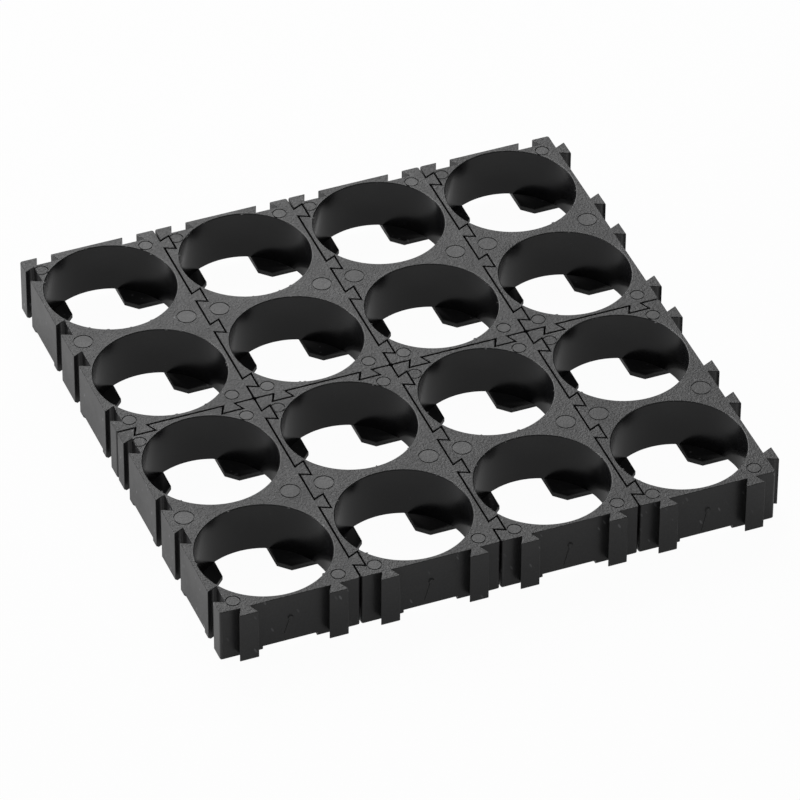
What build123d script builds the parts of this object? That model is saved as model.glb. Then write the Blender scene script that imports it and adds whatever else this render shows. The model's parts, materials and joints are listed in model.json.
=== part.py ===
"""Sixteen-cell holder for 18650 cells, four columns by four rows.

It is eight moulded brackets of two cells each. They slide together from above:
every bracket has dovetail tails on its front and right sides, and matching
grooves on its back and left sides. All sizes are in millimetres. X runs along
the columns, Y from front to back, Z up. The origin is the middle of the
footprint, tails included, on the surface that the holder stands on.
"""
from build123d import *
import os

# ---- the grid -------------------------------------------------------------
bore_diameter = 18.7       # an 18.3 to 18.5 cell slides in
cell_wall = 1.5            # from one bore to the next, with the joint between them
columns = 4                # brackets side by side, along X
ranks = 2                  # brackets one behind the other, along Y
cells_per_bracket = 2      # cells in one bracket, along Y
joint_gap = 0.2            # clearance between two brackets, on every face

# ---- one bracket ----------------------------------------------------------
bracket_height = 8.6
rim_break = 0.15           # broken edge at the top of a bore
corner_radius = 0.35       # upright corners of the bracket
foot_chamfer = 0.4         # lower outside edge

# ---- dovetails ------------------------------------------------------------
tail_neck = 1.4            # width where the tail leaves the wall
tail_head = 2.8            # width at its outer end
tail_reach = 1.5           # how far it stands out
tail_inset = 3.7           # middle of a tail, from the nearest corner of its cell
tail_foot = 0.55           # the tail stops this far above the bottom

# ---- the cell stops and the strip channels under them ---------------------
stop_thickness = 0.8       # corner plates that a cell stands on
strip_channel = 7.8        # channel for the connecting strip, between stops
stop_corner = 1.6          # cut across the tip of a stop

# ---- fine rings that the ejector pins leave on the top --------------------
pin_mark_diameter = 2.1
pin_mark_depth = 0.15
mark_line = 0.16                   # width of each ring
front_mark_inset = (2.5, 1.75)    # from the side wall, from the front wall
back_mark_inset = (2.2, 2.95)     # from the side wall, from the back wall
middle_mark_diameter = 2.9
middle_mark_depth = 0.1
middle_mark_inset = 2.35          # from the side wall, half way along

# ---- sizes that follow ----------------------------------------------------
overcut = 1.0              # a cutter runs this far past the face that it opens
footprint_shift = tail_reach / 2     # the tails stand out on two sides only
cell_pitch = bore_diameter + cell_wall      # centre to centre, both ways
tail_offset = cell_pitch / 2 - tail_inset   # from the middle of the cell, to each side
bracket_width = cell_pitch - joint_gap
bracket_length = cells_per_bracket * cell_pitch - joint_gap
bore_radius = bore_diameter / 2
cell_places = [(i - (cells_per_bracket - 1) / 2) * cell_pitch for i in range(cells_per_bracket)]
tail_places_on_side = [y + side * tail_offset for y in cell_places for side in (-1, 1)]
tail_places_on_end = [side * tail_offset for side in (-1, 1)]


def tail_outline(spread=0.0):
    """One tail in plan, pointing along +X from a wall at x = 0.

    spread grows it evenly on every side, which gives the groove that takes it.
    It starts inside the wall, so that it grows out of it with no seam.
    """
    slope = (tail_head - tail_neck) / 2 / tail_reach
    root = -(joint_gap + rim_break)
    outline = Polygon(
        (root, -tail_neck / 2 - root * slope),
        (tail_reach, -tail_head / 2),
        (tail_reach, tail_head / 2),
        (root, tail_neck / 2 + root * slope),
        align=None,
    )
    if spread > 0:
        outline = offset(outline, amount=spread, kind=Kind.INTERSECTION)
    return outline


def on_right(y):
    """Where a tail sits on the right wall."""
    return Location((bracket_width / 2, y, 0))


def on_front(x):
    """Where a tail sits on the front wall."""
    return Location((x, -bracket_length / 2, 0), (0, 0, -90))


def make_body():
    """The block, with round upright corners and a broken lower edge."""
    block = extrude(Rectangle(bracket_width, bracket_length), bracket_height)
    block = chamfer(block.edges().group_by(Axis.Z)[0], foot_chamfer)
    plan = RectangleRounded(bracket_width, bracket_length, corner_radius)
    return block & extrude(plan, bracket_height)


def make_tails():
    """The tails on the right and front walls, flush with the top."""
    places = [on_right(y) for y in tail_places_on_side]
    places += [on_front(x) for x in tail_places_on_end]
    tall = bracket_height - tail_foot
    return [Pos(0, 0, tail_foot) * (place * extrude(tail_outline(), tall)) for place in places]


def make_grooves():
    """The grooves in the left and back walls, one for each tail of a neighbour."""
    to_the_left = Location((-cell_pitch, 0, 0))
    to_the_back = Location((0, cells_per_bracket * cell_pitch, 0))
    places = [to_the_left * on_right(y) for y in tail_places_on_side]
    places += [to_the_back * on_front(x) for x in tail_places_on_end]
    tall = bracket_height + 2 * overcut
    cutter = Pos(0, 0, -overcut) * extrude(tail_outline(joint_gap), tall)
    return [place * cutter for place in places]


def make_bore(y):
    """The hollow of one cell: a bore down to the stops, with a broken rim."""
    bore = Pos(0, y, stop_thickness) * extrude(Circle(bore_radius), bracket_height)
    rim = Pos(0, y, bracket_height - rim_break) * Cone(
        bore_radius,
        bore_radius + 2 * rim_break,
        2 * rim_break,
        align=(Align.CENTER, Align.CENTER, Align.MIN),
    )
    return [bore, rim]


def make_strip_channel(y):
    """The cross under one cell: it leaves a stop in each corner of the bore."""
    along_x = Rectangle(2 * cell_pitch, strip_channel)
    along_y = Rectangle(strip_channel, cell_pitch)
    side = (strip_channel + stop_corner) * 2 ** 0.5
    tips = Rectangle(side, side, rotation=45) & Circle(bore_radius)
    cross = along_x + along_y + tips
    return Pos(0, y, -overcut) * extrude(cross, stop_thickness + overcut)


def make_pin_marks():
    """Fine shallow rings on the top, near the corners and half way along."""
    small_radius, large_radius = pin_mark_diameter / 2, middle_mark_diameter / 2
    small = Circle(small_radius) - Circle(small_radius - mark_line)
    large = Circle(large_radius) - Circle(large_radius - mark_line)
    marks = []
    for side in (-1, 1):
        wall = side * bracket_width / 2
        front = (wall - side * front_mark_inset[0], -bracket_length / 2 + front_mark_inset[1])
        back = (wall - side * back_mark_inset[0], bracket_length / 2 - back_mark_inset[1])
        middle = (wall - side * middle_mark_inset, 0)
        for place in (front, back):
            marks.append(Pos(*place, bracket_height - pin_mark_depth) * extrude(small, overcut))
        marks.append(Pos(*middle, bracket_height - middle_mark_depth) * extrude(large, overcut))
    return marks


def make_bracket():
    """One moulding, with its middle on the origin."""
    bracket = make_body()
    for tail in make_tails():
        bracket += tail
    for groove in make_grooves():
        bracket -= groove
    for y in cell_places:
        for cut in make_bore(y):
            bracket -= cut
        bracket -= make_strip_channel(y)
    for mark in make_pin_marks():
        bracket -= mark
    return bracket


def bracket_place(column, rank):
    """Where a bracket's middle goes in the grid; rank 0 is the front one."""
    x = (column - (columns - 1) / 2) * cell_pitch
    y = (rank - (ranks - 1) / 2) * cells_per_bracket * cell_pitch
    return Pos(x - footprint_shift, y + footprint_shift, 0)


os.makedirs("parts", exist_ok=True)
moulding = make_bracket()
rank_names = ["front", "back"] if ranks == 2 else [f"rank_{r + 1}" for r in range(ranks)]
for rank in range(ranks):
    for column in range(columns):
        node = f"bracket_{rank_names[rank]}_{column + 1}"
        export_step(bracket_place(column, rank) * moulding, f"parts/{node}.step")
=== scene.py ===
# %% [markdown]
# # Sixteen-cell battery holder
#
# Eight black moulded brackets slide together by their dovetails into one grid
# that holds sixteen round cells. This lesson dresses the engineering model of
# that holder: fine broken edges, the satin black of a spark-eroded mould, and
# the small marks that moulding leaves behind.
#
# The first cell loads the engineering model as a fixed frame. Nothing in it may
# be moved or resized, so every size below is read from it.

# %% Load the frame
import json
import math

import bmesh
import bpy
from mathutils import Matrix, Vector


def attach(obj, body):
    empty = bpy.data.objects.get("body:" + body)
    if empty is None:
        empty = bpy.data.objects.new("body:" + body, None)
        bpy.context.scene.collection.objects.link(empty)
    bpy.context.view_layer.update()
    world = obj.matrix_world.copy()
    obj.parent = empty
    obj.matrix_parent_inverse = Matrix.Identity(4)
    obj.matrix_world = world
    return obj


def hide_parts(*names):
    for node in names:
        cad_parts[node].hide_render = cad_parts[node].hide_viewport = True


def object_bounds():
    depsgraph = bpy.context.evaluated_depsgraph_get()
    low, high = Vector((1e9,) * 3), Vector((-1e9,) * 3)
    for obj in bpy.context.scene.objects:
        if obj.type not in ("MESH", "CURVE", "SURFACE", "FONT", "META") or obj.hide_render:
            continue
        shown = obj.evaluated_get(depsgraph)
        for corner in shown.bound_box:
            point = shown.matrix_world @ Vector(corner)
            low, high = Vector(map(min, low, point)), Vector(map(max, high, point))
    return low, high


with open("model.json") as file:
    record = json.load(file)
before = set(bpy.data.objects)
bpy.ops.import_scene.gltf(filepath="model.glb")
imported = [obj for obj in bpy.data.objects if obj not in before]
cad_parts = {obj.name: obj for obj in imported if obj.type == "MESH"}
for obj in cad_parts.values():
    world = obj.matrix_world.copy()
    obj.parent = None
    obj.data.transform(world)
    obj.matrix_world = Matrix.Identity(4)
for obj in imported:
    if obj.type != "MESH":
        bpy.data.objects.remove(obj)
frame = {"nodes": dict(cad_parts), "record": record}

cad_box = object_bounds()
MM = 0.001
brackets = sorted(frame["nodes"])
print("brackets:", brackets)
print("box of the engineering model:", cad_box)

# %% [markdown]
# ## What the frame tells us
#
# The record lists sixteen bores, one for each cell. Their places give the pitch
# of the grid, and their wall gives the bore's radius. Later steps use these
# values, so the scene follows the model when a size is changed.

# %% Read the grid from the record
bores = [m for m in frame["record"]["mounts"] if m["kind"] == "bore"]
bore_radius = bores[0]["dims"]["r_mm"] * MM
columns_x = sorted({round(m["pos_m"][0], 6) for m in bores})
rows_y = sorted({round(m["pos_m"][1], 6) for m in bores})
pitch = columns_x[1] - columns_x[0]
middle_x = (columns_x[0] + columns_x[-1]) / 2
middle_y = (rows_y[0] + rows_y[-1]) / 2
top_z = cad_box[1][2]
print(f"{len(bores)} bores of radius {bore_radius / MM:.2f} mm, pitch {pitch / MM:.2f} mm")
print(f"top at {top_z / MM:.2f} mm")

# %% [markdown]
# ## A black moulding
#
# The plastic is one black, but its faces don't look alike. The mould's top face
# was spark eroded, so it has a fine grain that scatters light and looks charcoal
# under a soft lamp. The outer walls are smoother, and the bore walls were turned
# and polished, so they mirror the pale table softly. The ejector pins have
# ground ends, which leave slightly paler discs.
#
# Images of such faces could be wrapped round the pieces, but patterns worked out
# from Object coordinates need no unwrapping and stay sharp close up. The pieces
# stand at the origin, so the grain keeps one real scale all over the holder.
# One function makes all four finishes, and these helpers keep it short.

# %% Helpers for nodes
def add_node(tree, kind, inputs=None, **settings):
    """A node with its inputs and settings filled in."""
    node = tree.nodes.new(kind)
    for key, value in settings.items():
        setattr(node, key, value)
    for key, value in (inputs or {}).items():
        node.inputs[key].default_value = value
    return node


def joined(tree, *steps):
    """Link each (output, input) pair."""
    for source, target in steps:
        tree.links.new(source, target)


def remap(tree, source, low, high, to_low, to_high):
    """Source, stretched from low..high to to_low..to_high and held there."""
    node = add_node(tree, "ShaderNodeMapRange", {
        "From Min": low, "From Max": high, "To Min": to_low, "To Max": to_high,
    })
    tree.links.new(source, node.inputs["Value"])
    return node.outputs["Result"]


def worked_out(tree, operation, first, second):
    """A sum or product of two values, each an output or a number."""
    node = add_node(tree, "ShaderNodeMath", operation=operation)
    for value, target in zip((first, second), node.inputs):
        if isinstance(value, float):
            target.default_value = value
        else:
            tree.links.new(value, target)
    return node.outputs["Value"]


# %% [markdown]
# ## Ticks from handling
#
# Handling leaves short pale ticks on black plastic. They could be drawn one by
# one, but a Voronoi pattern spreads them evenly by itself: it has one centre in
# each of its cells, stretched cells give short strokes, and a cell's own random
# colour decides whether its stroke shows at all.

# %% A pattern of ticks
TICK_CELL = (2.4 * MM, 0.7 * MM, 0.7 * MM)  # a long cell gives a long stroke
TICK_TURN = (0.5, 1.1, 0.4)                 # so that no face is parallel to the strokes
TICK_CORE = (0.14, 0.26)                    # a stroke fades out between these distances
TICK_DRAW = (0.78, 0.98)                    # below the first draw a cell stays empty


def ticks(tree, place):
    """Sparse short strokes round the cell centres of a stretched Voronoi pattern."""
    turn = add_node(tree, "ShaderNodeMapping", {
        "Rotation": TICK_TURN, "Scale": TICK_CELL,
    }, vector_type="TEXTURE")
    cells = add_node(tree, "ShaderNodeTexVoronoi", {"Scale": 1.0})
    parts = add_node(tree, "ShaderNodeSeparateColor")
    joined(
        tree,
        (place, turn.inputs["Vector"]),
        (turn.outputs["Vector"], cells.inputs["Vector"]),
        (cells.outputs["Color"], parts.inputs["Color"]),
    )
    core = remap(tree, cells.outputs["Distance"], *TICK_CORE, 1.0, 0.0)
    drawn = remap(tree, parts.outputs["Red"], *TICK_DRAW, 0.0, 1.0)
    return worked_out(tree, "MULTIPLY", core, drawn)


# %% [markdown]
# ## The plastic itself
#
# The tone is the base colour times the grain and the clouds, plus the ticks. A
# flat colour would look like paint on a screen, because real plastic is never
# quite even. The grain is a bump as well, so it breaks up the highlight, and the
# clouds move the roughness a little.

# %% The black plastic
PLASTIC_IOR = 1.52
GRAIN_PER_METRE = 3100.0   # a grain of about a third of a millimetre
CLOUDS_PER_METRE = 210.0   # clouds of about five millimetres
NOISE_RANGE = (0.3, 0.7)   # nearly all of a noise's values lie between these
CLOUD_TONE = 0.1
GLOSS_SPREAD = 0.05


def noise(tree, place, per_metre, detail, roughness):
    """A noise pattern of a given fineness."""
    node = add_node(tree, "ShaderNodeTexNoise", {
        "Scale": per_metre, "Detail": detail, "Roughness": roughness,
    })
    tree.links.new(place, node.inputs["Vector"])
    return node.outputs["Fac"]


def moulded_black(name, base, roughness, speckle, grain_height, wear):
    """Black plastic. Speckle is how much the grain shows in its tone, wear the ticks."""
    material = bpy.data.materials.new(name)
    material.use_nodes = True
    tree = material.node_tree
    shader = tree.nodes["Principled BSDF"]
    shader.inputs["IOR"].default_value = PLASTIC_IOR
    place = add_node(tree, "ShaderNodeTexCoord").outputs["Object"]
    grain = noise(tree, place, GRAIN_PER_METRE, detail=2.0, roughness=0.7)
    cloud = noise(tree, place, CLOUDS_PER_METRE, detail=4.0, roughness=0.6)
    grain_tone = remap(tree, grain, *NOISE_RANGE, 1.0 - speckle, 1.0 + speckle)
    cloud_tone = remap(tree, cloud, *NOISE_RANGE, 1.0 - CLOUD_TONE, 1.0 + CLOUD_TONE)
    gloss = remap(tree, cloud, *NOISE_RANGE, roughness - GLOSS_SPREAD, roughness + GLOSS_SPREAD)
    tone = worked_out(tree, "MULTIPLY", grain_tone, cloud_tone)
    marks = worked_out(tree, "MULTIPLY", ticks(tree, place), wear)
    colour = add_node(tree, "ShaderNodeVectorMath", {0: base}, operation="SCALE")
    bump = add_node(tree, "ShaderNodeBump", {"Strength": 1.0, "Distance": grain_height})
    joined(
        tree,
        (worked_out(tree, "ADD", tone, marks), colour.inputs["Scale"]),
        (colour.outputs["Vector"], shader.inputs["Base Color"]),
        (gloss, shader.inputs["Roughness"]),
        (grain, bump.inputs["Height"]),
        (bump.outputs["Normal"], shader.inputs["Normal"]),
    )
    return material


# %% [markdown]
# ## Four finishes
#
# The top is the roughest and the most speckled, the walls are smoother and show
# the ticks most, the bores are nearly polished, and the pin prints are a little
# paler. The bores' base colour is darker than the rest as painted shade for the
# shade deep inside them. One material with masks could do it all, but four calls
# of one function can be compared line by line, and each face says which one it wears.

# %% Make the finishes
eroded_top = moulded_black(
    "eroded_top", base=(0.030, 0.030, 0.031), roughness=0.50,
    speckle=0.8, grain_height=0.12 * MM, wear=3.0,
)
smooth_wall = moulded_black(
    "smooth_wall", base=(0.023, 0.023, 0.024), roughness=0.34,
    speckle=0.2, grain_height=0.012 * MM, wear=6.0,
)
# A darker base colour than the other faces: painted shade for the shade inside the bores.
polished_bore_painted_shade = moulded_black(
    "polished_bore_painted_shade", base=(0.010, 0.010, 0.011), roughness=0.22,
    speckle=0.05, grain_height=0.002 * MM, wear=1.0,
)
pin_face = moulded_black(
    "pin_face", base=(0.038, 0.038, 0.039), roughness=0.50,
    speckle=0.35, grain_height=0.05 * MM, wear=0.5,
)
TOP, WALL, BORE, PIN = range(4)
finishes = [eroded_top, smooth_wall, polished_bore_painted_shade, pin_face]
print("finishes:", [m.name for m in finishes])

# %% [markdown]
# ## Which finish goes where
#
# Each piece of a mould leaves its own finish, so the finish follows from where a
# face is and which way it looks. A face that looks up near the top is grained,
# unless it is round: then it is the print of an ejector pin. A face whose
# corners all lie on a bore's cylinder is polished. The rest is plain wall. A
# list of face numbers would do the same, but rules keep working when a size
# changes.

# %% Choose a finish for each face
BORE_TOLERANCE = 0.05 * MM
DISC_CORNERS = 12   # a round face has more corners than this
LOOKS_UP = 0.9      # a normal's z above this looks up
LOOKS_LEVEL = 0.1   # a normal's z within this looks level


def to_nearest_axis(point):
    """The level step from a point to the axis of the nearest bore."""
    nearest = min(bores, key=lambda m: math.hypot(point.x - m["pos_m"][0], point.y - m["pos_m"][1]))
    return Vector((nearest["pos_m"][0] - point.x, nearest["pos_m"][1] - point.y, 0))


def is_disc(face):
    """True for a round face, such as the print of an ejector pin."""
    middle = face.calc_center_median()
    reach = [(v.co - middle).length for v in face.verts]
    return len(reach) > DISC_CORNERS and max(reach) - min(reach) < BORE_TOLERANCE


def finish_of(face):
    """The finish of a face, from where it is and which way it looks."""
    if face.normal.z > LOOKS_UP and face.calc_center_median().z > top_z / 2:
        return PIN if is_disc(face) else TOP
    reach = bore_radius + BORE_TOLERANCE
    on_bore = all(to_nearest_axis(v.co).length < reach for v in face.verts)
    return BORE if on_bore and abs(face.normal.z) < LOOKS_LEVEL else WALL


# %% [markdown]
# ## Broken edges
#
# A moulded edge is never sharp. A bevel of a tenth of a millimetre is enough to
# catch the light along every dovetail. The edges could be rounded in the
# engineering model, but so fine a break matters only to the eye. That model's
# mesh is loose triangles, so a copy is merged first, and flat faces are joined
# again so that the bevel follows only real edges. The fine rings round the pin
# prints stay as they are, because a bevel would fill them.

# %% Find the edges and make a merged copy
EDGE_BREAK = 0.10 * MM
MERGE_DISTANCE = 0.0001 * MM
FLAT_ANGLE = math.radians(0.2)   # faces that meet at less than this are one flat face
EDGE_ANGLE = math.radians(50)    # faces that meet at more than this make an edge
RING_REACH = 0.3 * MM            # the rings lie within this depth of the top


def is_real_edge(edge):
    """True for an outer corner that isn't part of a ring on the top."""
    if len(edge.link_faces) != 2 or not edge.is_convex:
        return False
    near_ring = all(top_z - RING_REACH < v.co.z < top_z - MERGE_DISTANCE for v in edge.verts)
    ring_top = edge.calc_length() < RING_REACH and any(
        f.normal.z < LOOKS_LEVEL and all(v.co.z > top_z - RING_REACH for v in f.verts)
        for f in edge.link_faces
    )
    return edge.calc_face_angle() > EDGE_ANGLE and not near_ring and not ring_top


def dressed_copy(node):
    """A merged copy of a bracket, with a finish on each face and its edges marked."""
    mesh = frame["nodes"][node].data.copy()
    mesh.materials.clear()
    for finish in finishes:
        mesh.materials.append(finish)
    work = bmesh.new()
    work.from_mesh(mesh)
    bmesh.ops.remove_doubles(work, verts=work.verts, dist=MERGE_DISTANCE)
    bmesh.ops.dissolve_limit(work, angle_limit=FLAT_ANGLE, verts=work.verts, edges=work.edges)
    for face in work.faces:
        face.material_index = finish_of(face)
        face.smooth = True
    weight = work.edges.layers.float.new("bevel_weight_edge")
    for edge in work.edges:
        broken = is_real_edge(edge)
        edge[weight] = 1.0 if broken else 0.0
        edge.smooth = broken or edge.calc_face_angle(math.pi) < EDGE_ANGLE
    work.to_mesh(mesh)
    work.free()
    piece = bpy.data.objects.new(f"{node}_moulding", mesh)
    bpy.context.scene.collection.objects.link(piece)
    return piece


# %% [markdown]
# ## Smooth bores and flat faces
#
# A smooth mesh blends the direction of neighbouring faces, and that would leave
# false streaks on a flat top. The weighted normals let the large faces keep
# their own direction. The bore walls are cylinders, so their true direction is
# known: it points level to the bore's axis, and it is written in directly.

# %% Bevel, then set the normals
def break_edges(piece):
    """A fine bevel on every outer corner; large faces keep their own direction."""
    bevel = piece.modifiers.new("broken_edges", "BEVEL")
    bevel.width = EDGE_BREAK
    bevel.segments = 2
    bevel.limit_method = "WEIGHT"
    bevel.use_clamp_overlap = False
    flatten = piece.modifiers.new("flat_faces_stay_flat", "WEIGHTED_NORMAL")
    flatten.mode = "FACE_AREA"
    flatten.weight = 50
    flatten.keep_sharp = True


def settle(piece):
    """Keep the bevelled mesh, and give the bore walls their exact round normals."""
    depsgraph = bpy.context.evaluated_depsgraph_get()
    mesh = bpy.data.meshes.new_from_object(piece.evaluated_get(depsgraph))
    normals = [corner.vector.copy() for corner in mesh.corner_normals]
    for face in mesh.polygons:
        if face.material_index == BORE and abs(face.normal.z) < LOOKS_LEVEL:
            for corner in face.loop_indices:
                place = mesh.vertices[mesh.loops[corner].vertex_index].co
                normals[corner] = to_nearest_axis(place).normalized()
    mesh.normals_split_custom_set(normals)
    piece.modifiers.clear()
    piece.data = mesh


# %% [markdown]
# ## Dress the eight brackets
#
# All eight come from one mould, so one loop dresses them. Each moulding takes
# the place of its engineering body, which is hidden, and rides on the root.

# %% Dress each bracket
mouldings = {}
for node in brackets:
    moulding = dressed_copy(node)
    break_edges(moulding)
    settle(moulding)
    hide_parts(node)
    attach(moulding, "root")
    mouldings[node] = moulding
    print(node, "dressed,", len(moulding.data.polygons), "faces")

# %% [markdown]
# ## Flash on the bore rims
#
# Where two halves of a mould meet, a little plastic creeps out and leaves tiny
# nibs on the rim of a bore. They could be set by hand, but there are a few on
# each of sixteen rims, so Geometry Nodes place them: a grid gives the sixteen
# bores, a circle on each gives the rim, and a seeded draw keeps only a few of
# its points. The first helpers start a tree and run it.

# %% Helpers that start a tree and run it
def geometry_tree(name, inputs):
    """An empty Geometry Nodes tree with named number inputs."""
    tree = bpy.data.node_groups.new(name, "GeometryNodeTree")
    for label, kind, value in inputs:
        socket = tree.interface.new_socket(label, in_out="INPUT", socket_type=kind)
        socket.default_value = value
    tree.interface.new_socket("Geometry", in_out="OUTPUT", socket_type="NodeSocketGeometry")
    return tree, tree.nodes.new("NodeGroupInput"), tree.nodes.new("NodeGroupOutput")


def mesh_from_tree(name, tree, values):
    """Run a tree on an empty object and keep its result as a plain mesh."""
    holder = bpy.data.objects.new(name, bpy.data.meshes.new(f"{name}_start"))
    bpy.context.scene.collection.objects.link(holder)
    modifier = holder.modifiers.new("nodes", "NODES")
    modifier.node_group = tree
    for item in tree.interface.items_tree:
        if item.in_out == "INPUT" and item.name in values:
            modifier[item.identifier] = values[item.name]
    depsgraph = bpy.context.evaluated_depsgraph_get()
    result = bpy.data.meshes.new_from_object(holder.evaluated_get(depsgraph))
    holder.modifiers.remove(modifier)
    holder.data = result
    return holder


# %% [markdown]
# ## The ends of every tree
#
# Both trees of this lesson begin with a grid of points and end alike: instances
# made real, because an export drops instances, and given their finish. These
# helpers hold what the two trees share.

# %% Helpers that the trees share
GRID_INPUTS = [
    ("Columns", "NodeSocketInt", 4),
    ("Rows", "NodeSocketInt", 4),
    ("Width", "NodeSocketFloat", 60 * MM),
    ("Depth", "NodeSocketFloat", 60 * MM),
    ("Middle", "NodeSocketVector", (0.0, 0.0, 0.0)),
    ("Seed", "NodeSocketInt", 1),
    ("Finish", "NodeSocketMaterial", None),
]


def grid_of_points(tree, given):
    """A grid of Columns by Rows points, Width wide and Depth deep."""
    grid = tree.nodes.new("GeometryNodeMeshGrid")
    joined(
        tree,
        (given.outputs["Columns"], grid.inputs["Vertices X"]),
        (given.outputs["Rows"], grid.inputs["Vertices Y"]),
        (given.outputs["Width"], grid.inputs["Size X"]),
        (given.outputs["Depth"], grid.inputs["Size Y"]),
    )
    return grid.outputs["Mesh"]


def varied_size(tree, given, smallest, largest):
    """A seeded size for each instance, between two limits."""
    size = add_node(tree, "FunctionNodeRandomValue", data_type="FLOAT_VECTOR")
    size.inputs[0].default_value = smallest
    size.inputs[1].default_value = largest
    tree.links.new(given.outputs["Seed"], size.inputs["Seed"])
    return size.outputs[0]


def painted(tree, given, out, instances):
    """Make instances real, give them their finish and send them out."""
    solid = tree.nodes.new("GeometryNodeRealizeInstances")
    paint = tree.nodes.new("GeometryNodeSetMaterial")
    joined(
        tree,
        (instances, solid.inputs["Geometry"]),
        (solid.outputs["Geometry"], paint.inputs["Geometry"]),
        (given.outputs["Finish"], paint.inputs["Material"]),
        (paint.outputs["Geometry"], out.inputs["Geometry"]),
    )


# %% [markdown]
# ## The tree for the nibs
#
# Each nib is a small ball, flattened and varied in size. A ball is cheap, and at
# this size nothing finer would show. The tree's inputs are the sizes that
# someone may want to change, and the seed brings the same nibs back each time.

# %% Build the tree for the nibs
RIM_PLACES = 90                   # points on each rim where a nib may be
NIB_ROUNDNESS = 2
NIB_SMALLEST = (0.5, 0.5, 0.25)   # times the nib size, along X, Y and Z
NIB_LARGEST = (1.5, 1.3, 0.5)


def nib_tree():
    """Small flattened beads at seeded places on the rims of a grid of bores."""
    tree, given, out = geometry_tree("rim_nibs", GRID_INPUTS + [
        ("Rim Radius", "NodeSocketFloat", 9 * MM),
        ("Share Left Out", "NodeSocketFloat", 0.9),
        ("Nib Size", "NodeSocketFloat", 0.1 * MM),
    ])
    rim = add_node(tree, "GeometryNodeMeshCircle", {"Vertices": RIM_PLACES})
    rims = add_node(tree, "GeometryNodeInstanceOnPoints")
    loose = add_node(tree, "GeometryNodeRealizeInstances")
    moved = add_node(tree, "GeometryNodeSetPosition")
    draw = add_node(tree, "FunctionNodeRandomValue", data_type="BOOLEAN")
    thin = add_node(tree, "GeometryNodeDeleteGeometry")
    bead = add_node(tree, "GeometryNodeMeshIcoSphere", {"Subdivisions": NIB_ROUNDNESS})
    beads = add_node(tree, "GeometryNodeInstanceOnPoints")
    joined(
        tree,
        (given.outputs["Rim Radius"], rim.inputs["Radius"]),
        (grid_of_points(tree, given), rims.inputs["Points"]),
        (rim.outputs["Mesh"], rims.inputs["Instance"]),
        (rims.outputs["Instances"], loose.inputs["Geometry"]),
        (loose.outputs["Geometry"], moved.inputs["Geometry"]),
        (given.outputs["Middle"], moved.inputs["Offset"]),
        (given.outputs["Share Left Out"], draw.inputs["Probability"]),
        (given.outputs["Seed"], draw.inputs["Seed"]),
        (moved.outputs["Geometry"], thin.inputs["Geometry"]),
        (draw.outputs[3], thin.inputs["Selection"]),
        (given.outputs["Nib Size"], bead.inputs["Radius"]),
        (thin.outputs["Geometry"], beads.inputs["Points"]),
        (bead.outputs["Mesh"], beads.inputs["Instance"]),
        (varied_size(tree, given, NIB_SMALLEST, NIB_LARGEST), beads.inputs["Scale"]),
    )
    painted(tree, given, out, beads.outputs["Instances"])
    return tree


rim_nibs = nib_tree()
print("tree", rim_nibs.name, "has", len(rim_nibs.nodes), "nodes")

# %% [markdown]
# ## Lay the nibs
#
# The nibs sit just under the top, in the break of the rim, so that they catch
# the light there but never stand out above the moulding.

# %% Lay the nibs on the rims
NIB_SIZE = 0.2 * MM
NIB_DROP = 0.13 * MM         # below the top
NIB_SHARE_LEFT_OUT = 0.94    # of the places on the rims
NIB_SEED = 11
RIM_GROWTH = 0.05 * MM       # the rim's break makes it wider than the bore
nibs = mesh_from_tree("rim_flash", rim_nibs, {
    "Columns": len(columns_x),
    "Rows": len(rows_y),
    "Width": columns_x[-1] - columns_x[0],
    "Depth": rows_y[-1] - rows_y[0],
    "Middle": (middle_x, middle_y, top_z - NIB_DROP),
    "Rim Radius": bore_radius + RIM_GROWTH,
    "Share Left Out": NIB_SHARE_LEFT_OUT,
    "Nib Size": NIB_SIZE,
    "Seed": NIB_SEED,
    "Finish": eroded_top,
})
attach(nibs, "root")
print("rim flash:", len(nibs.data.polygons), "faces")

# %% [markdown]
# ## The gate marks
#
# Plastic enters the mould at the middle of each bracket's front wall. The sprue
# leaves a low stub there when it is twisted off, with a thin slanted line below
# it. The stub is a cone cut short, and the line is a thin tube. They could be
# copied by a loop, but the grid that starts the first tree fits them too.

# %% Build the tree for the gate stubs
STUB_SIDES = 8
STUB_TAPER = 0.72                        # the outer end's radius over the inner end's
STUB_SMALLEST = (0.8, 1.0, 0.8)          # times the stub's own size
STUB_LARGEST = (1.2, 1.0, 1.3)
LINE_END = (-0.8 * MM, 0.0, -2.8 * MM)   # from the middle of the stub
LINE_RADIUS = 0.09 * MM
LINE_SIDES = 6


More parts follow.
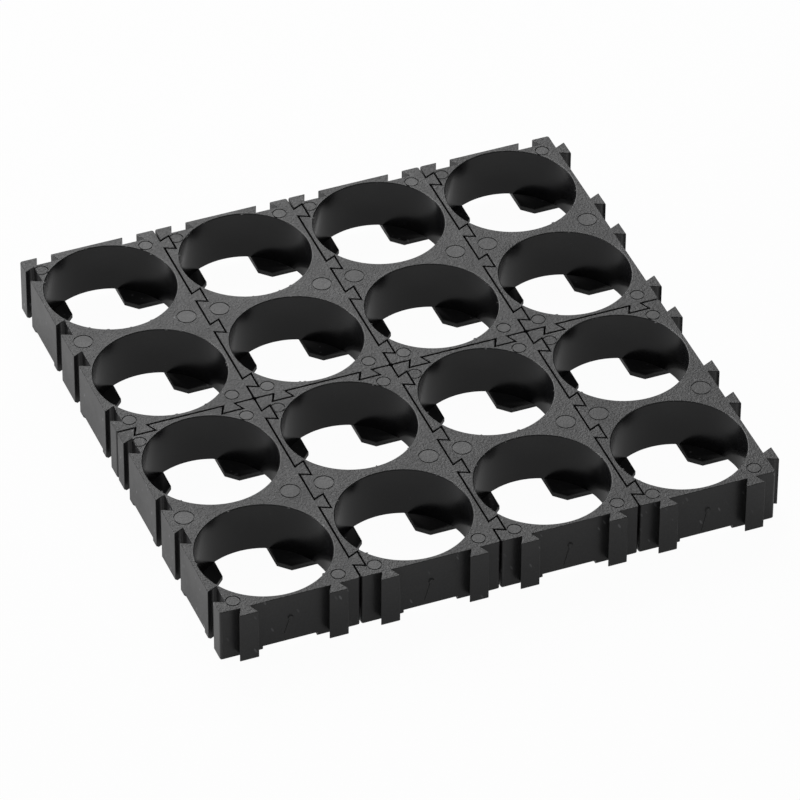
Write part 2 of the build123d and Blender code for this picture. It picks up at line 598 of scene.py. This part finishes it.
def gate_tree():
    """Low stubs, standing out along -Y, one on each point of a grid."""
    tree, given, out = geometry_tree("gate_stubs", GRID_INPUTS + [
        ("Stub Radius", "NodeSocketFloat", 0.3 * MM),
        ("Stub Height", "NodeSocketFloat", 0.1 * MM),
    ])
    moved = add_node(tree, "GeometryNodeSetPosition")
    stub = add_node(tree, "GeometryNodeMeshCone", {"Vertices": STUB_SIDES})
    laid = add_node(tree, "GeometryNodeTransform", {"Rotation": (math.pi / 2, 0.0, 0.0)})
    line = add_node(tree, "GeometryNodeCurvePrimitiveLine", {"End": LINE_END})
    profile = add_node(tree, "GeometryNodeCurvePrimitiveCircle", {
        "Resolution": LINE_SIDES, "Radius": LINE_RADIUS,
    })
    ridge = add_node(tree, "GeometryNodeCurveToMesh", {"Fill Caps": True})
    both = add_node(tree, "GeometryNodeJoinGeometry")
    stubs = add_node(tree, "GeometryNodeInstanceOnPoints")
    radius = given.outputs["Stub Radius"]
    joined(
        tree,
        (grid_of_points(tree, given), moved.inputs["Geometry"]),
        (given.outputs["Middle"], moved.inputs["Offset"]),
        (radius, stub.inputs["Radius Bottom"]),
        (worked_out(tree, "MULTIPLY", radius, STUB_TAPER), stub.inputs["Radius Top"]),
        (given.outputs["Stub Height"], stub.inputs["Depth"]),
        (stub.outputs["Mesh"], laid.inputs["Geometry"]),
        (line.outputs["Curve"], ridge.inputs["Curve"]),
        (profile.outputs["Curve"], ridge.inputs["Profile Curve"]),
        (laid.outputs["Geometry"], both.inputs["Geometry"]),
        (ridge.outputs["Mesh"], both.inputs["Geometry"]),
        (moved.outputs["Geometry"], stubs.inputs["Points"]),
        (both.outputs["Geometry"], stubs.inputs["Instance"]),
        (varied_size(tree, given, STUB_SMALLEST, STUB_LARGEST), stubs.inputs["Scale"]),
    )
    painted(tree, given, out, stubs.outputs["Instances"])
    return tree


gate_stubs = gate_tree()
print("tree", gate_stubs.name, "has", len(gate_stubs.nodes), "nodes")

# %% [markdown]
# ## Set the gate marks
#
# The front wall's place could be typed in, but it would be wrong as soon as a
# wall changes. So it is measured on each dressed bracket: it is the largest face
# that looks forward. The tails stand in front of it, but they are smaller.

# %% Set a gate stub in each front wall
STUB_RADIUS = 0.42 * MM
STUB_HEIGHT = 0.18 * MM
STUB_SEED = 3
GATE_LEVEL = 0.56       # of the bracket's height
LOOKS_FORWARD = -0.99   # a normal's y below this looks forward


def front_wall(piece):
    """The y of a bracket's front wall: its largest forward face."""
    forward = [f for f in piece.data.polygons if f.normal.y < LOOKS_FORWARD]
    return max(forward, key=lambda f: f.area).center.y


ranks = sorted({round(front_wall(piece), 6) for piece in mouldings.values()})
gates = mesh_from_tree("gate_stubs", gate_stubs, {
    "Columns": len(columns_x),
    "Rows": len(ranks),
    "Width": columns_x[-1] - columns_x[0],
    "Depth": ranks[-1] - ranks[0],
    "Middle": (middle_x, (ranks[0] + ranks[-1]) / 2, top_z * GATE_LEVEL),
    "Stub Radius": STUB_RADIUS,
    "Stub Height": STUB_HEIGHT,
    "Seed": STUB_SEED,
    "Finish": pin_face,
})
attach(gates, "root")
print("gate stubs on", len(ranks), "ranks of front walls:", len(gates.data.polygons), "faces")

# %% [markdown]
# ## The floor
#
# The holder lies on a plain white sheet. A camera sees the sheet nearly white, as
# on a light table, so most of what it sees is a plain glow of strength 1. Glossy
# faces see less of that glow, and it puts the soft sheen on the bore walls. The
# rest is ordinary white paint, which keeps a faint shadow. A stronger lamp would
# whiten the sheet as well, but it would turn the black plastic grey.

# %% Make the floor
FLOOR_HALF = 4.0     # metres from the middle to a side
CAMERA_GLOW = 0.97   # share of glow in what the camera sees
MIRROR_GLOW = 0.30   # share of glow in what a glossy face mirrors
PAINT_WHITE = 0.75


def white_sheet():
    """White paint, mixed with a white glow for camera and glossy rays."""
    material = bpy.data.materials.new("white_sheet")
    material.use_nodes = True
    tree = material.node_tree
    paint = tree.nodes["Principled BSDF"]
    paint.inputs["Base Color"].default_value = (PAINT_WHITE, PAINT_WHITE, PAINT_WHITE, 1)
    paint.inputs["Roughness"].default_value = 0.8
    glow = add_node(tree, "ShaderNodeEmission", {"Color": (1, 1, 1, 1), "Strength": 1.0})
    path = add_node(tree, "ShaderNodeLightPath")
    mirrored = add_node(tree, "ShaderNodeMath", {1: MIRROR_GLOW}, operation="MULTIPLY")
    share = add_node(tree, "ShaderNodeMath", {1: CAMERA_GLOW}, operation="MULTIPLY_ADD")
    mix = add_node(tree, "ShaderNodeMixShader")
    joined(
        tree,
        (path.outputs["Is Glossy Ray"], mirrored.inputs[0]),
        (path.outputs["Is Camera Ray"], share.inputs[0]),
        (mirrored.outputs["Value"], share.inputs[2]),
        (share.outputs["Value"], mix.inputs["Fac"]),
        (paint.outputs["BSDF"], mix.inputs[1]),
        (glow.outputs["Emission"], mix.inputs[2]),
        (mix.outputs["Shader"], tree.nodes["Material Output"].inputs["Surface"]),
    )
    return material


floor_mesh = bpy.data.meshes.new("floor")
floor_corners = [(-1, -1), (1, -1), (1, 1), (-1, 1)]
floor_places = [(x * FLOOR_HALF, y * FLOOR_HALF, 0) for x, y in floor_corners]
floor_mesh.from_pydata(floor_places, [], [(0, 1, 2, 3)])
floor_mesh.materials.append(white_sheet())
floor = bpy.data.objects.new("floor", floor_mesh)
bpy.context.scene.collection.objects.link(floor)
print("floor:", 2 * FLOOR_HALF, "m wide")

# %% [markdown]
# ## Light
#
# Black plastic shows its form by what it mirrors. A wide soft lamp high behind
# the holder skims the grained top and turns it charcoal, while the front walls
# stay dark because no lamp stands in front. A second soft lamp makes the left
# walls pale. It stays low and a little behind, so that it doesn't shine into the
# bores. More lamps would fill the darks that give the bores their depth.

# %% Place the lamps
def soft_lamp(name, place, size, power):
    """A square area lamp that looks at the holder."""
    data = bpy.data.lights.new(name, "AREA")
    data.shape = "SQUARE"
    data.size = size
    data.energy = power
    lamp = bpy.data.objects.new(name, data)
    bpy.context.scene.collection.objects.link(lamp)
    lamp.location = place
    lamp.rotation_euler = (-Vector(place)).to_track_quat("-Z", "Y").to_euler()
    return lamp


lamps = [
    soft_lamp("skim_from_behind", place=(0.05, 0.50, 0.42), size=0.45, power=3.0),
    soft_lamp("pale_left", place=(-0.60, 0.26, 0.10), size=0.18, power=2.2),
]
print("lamps:", [lamp.name for lamp in lamps])

# %% [markdown]
# ## The world
#
# A studio's walls send back a weak even light, and it lifts the darkest walls
# a little. The camera alone sees this world as plain white, so the background
# is white with no more light on the holder.

# %% Make the world
WORLD_STRENGTH = 0.2
world = bpy.data.worlds.new("studio")
bpy.context.scene.world = world
world.use_nodes = True
sky = world.node_tree
even = sky.nodes["Background"]
even.inputs["Color"].default_value = (1, 1, 1, 1)
even.inputs["Strength"].default_value = WORLD_STRENGTH
white = add_node(sky, "ShaderNodeBackground", {"Color": (1, 1, 1, 1), "Strength": 1.0})
sky_path = add_node(sky, "ShaderNodeLightPath")
sky_mix = add_node(sky, "ShaderNodeMixShader")
joined(
    sky,
    (sky_path.outputs["Is Camera Ray"], sky_mix.inputs["Fac"]),
    (even.outputs["Background"], sky_mix.inputs[1]),
    (white.outputs["Background"], sky_mix.inputs[2]),
    (sky_mix.outputs["Shader"], sky.nodes["World Output"].inputs["Surface"]),
)
bpy.context.scene.view_settings.view_transform = "Standard"
print("world strength:", WORLD_STRENGTH)

# %% [markdown]
# ## Camera
#
# A product like this is shown from one corner, so that its top and two sides
# are seen at once. A short lens close by would make the far cells look much
# smaller. A long lens from the front left, looking down at about forty degrees,
# keeps the columns nearly parallel.

# %% Place the camera
VIEW_TURN = math.radians(21.737)   # to the right of straight ahead
VIEW_DROP = math.radians(39.194)   # below level
VIEW_ROLL = math.radians(0.285)
VIEW_RANGE = 47.805 * pitch
VIEW_SHIFT = (0.0113, -0.0443)
SENSOR_MM = 36.0
LENS_MM = 314.25
look = Vector((
    math.sin(VIEW_TURN) * math.cos(VIEW_DROP),
    math.cos(VIEW_TURN) * math.cos(VIEW_DROP),
    -math.sin(VIEW_DROP),
))
grid_middle = Vector((middle_x, middle_y, top_z))
camera_data = bpy.data.cameras.new("camera")
camera_data.sensor_width = SENSOR_MM
camera_data.lens = LENS_MM
camera_data.shift_x = VIEW_SHIFT[0]
camera_data.shift_y = VIEW_SHIFT[1]
camera = bpy.data.objects.new("camera", camera_data)
bpy.context.scene.collection.objects.link(camera)
camera.location = grid_middle - look * VIEW_RANGE
camera.rotation_euler = look.to_track_quat("-Z", "Y").to_euler()
camera.rotation_euler.rotate_axis("Z", VIEW_ROLL)
bpy.context.scene.camera = camera
print("camera at", [round(v, 3) for v in camera.location])
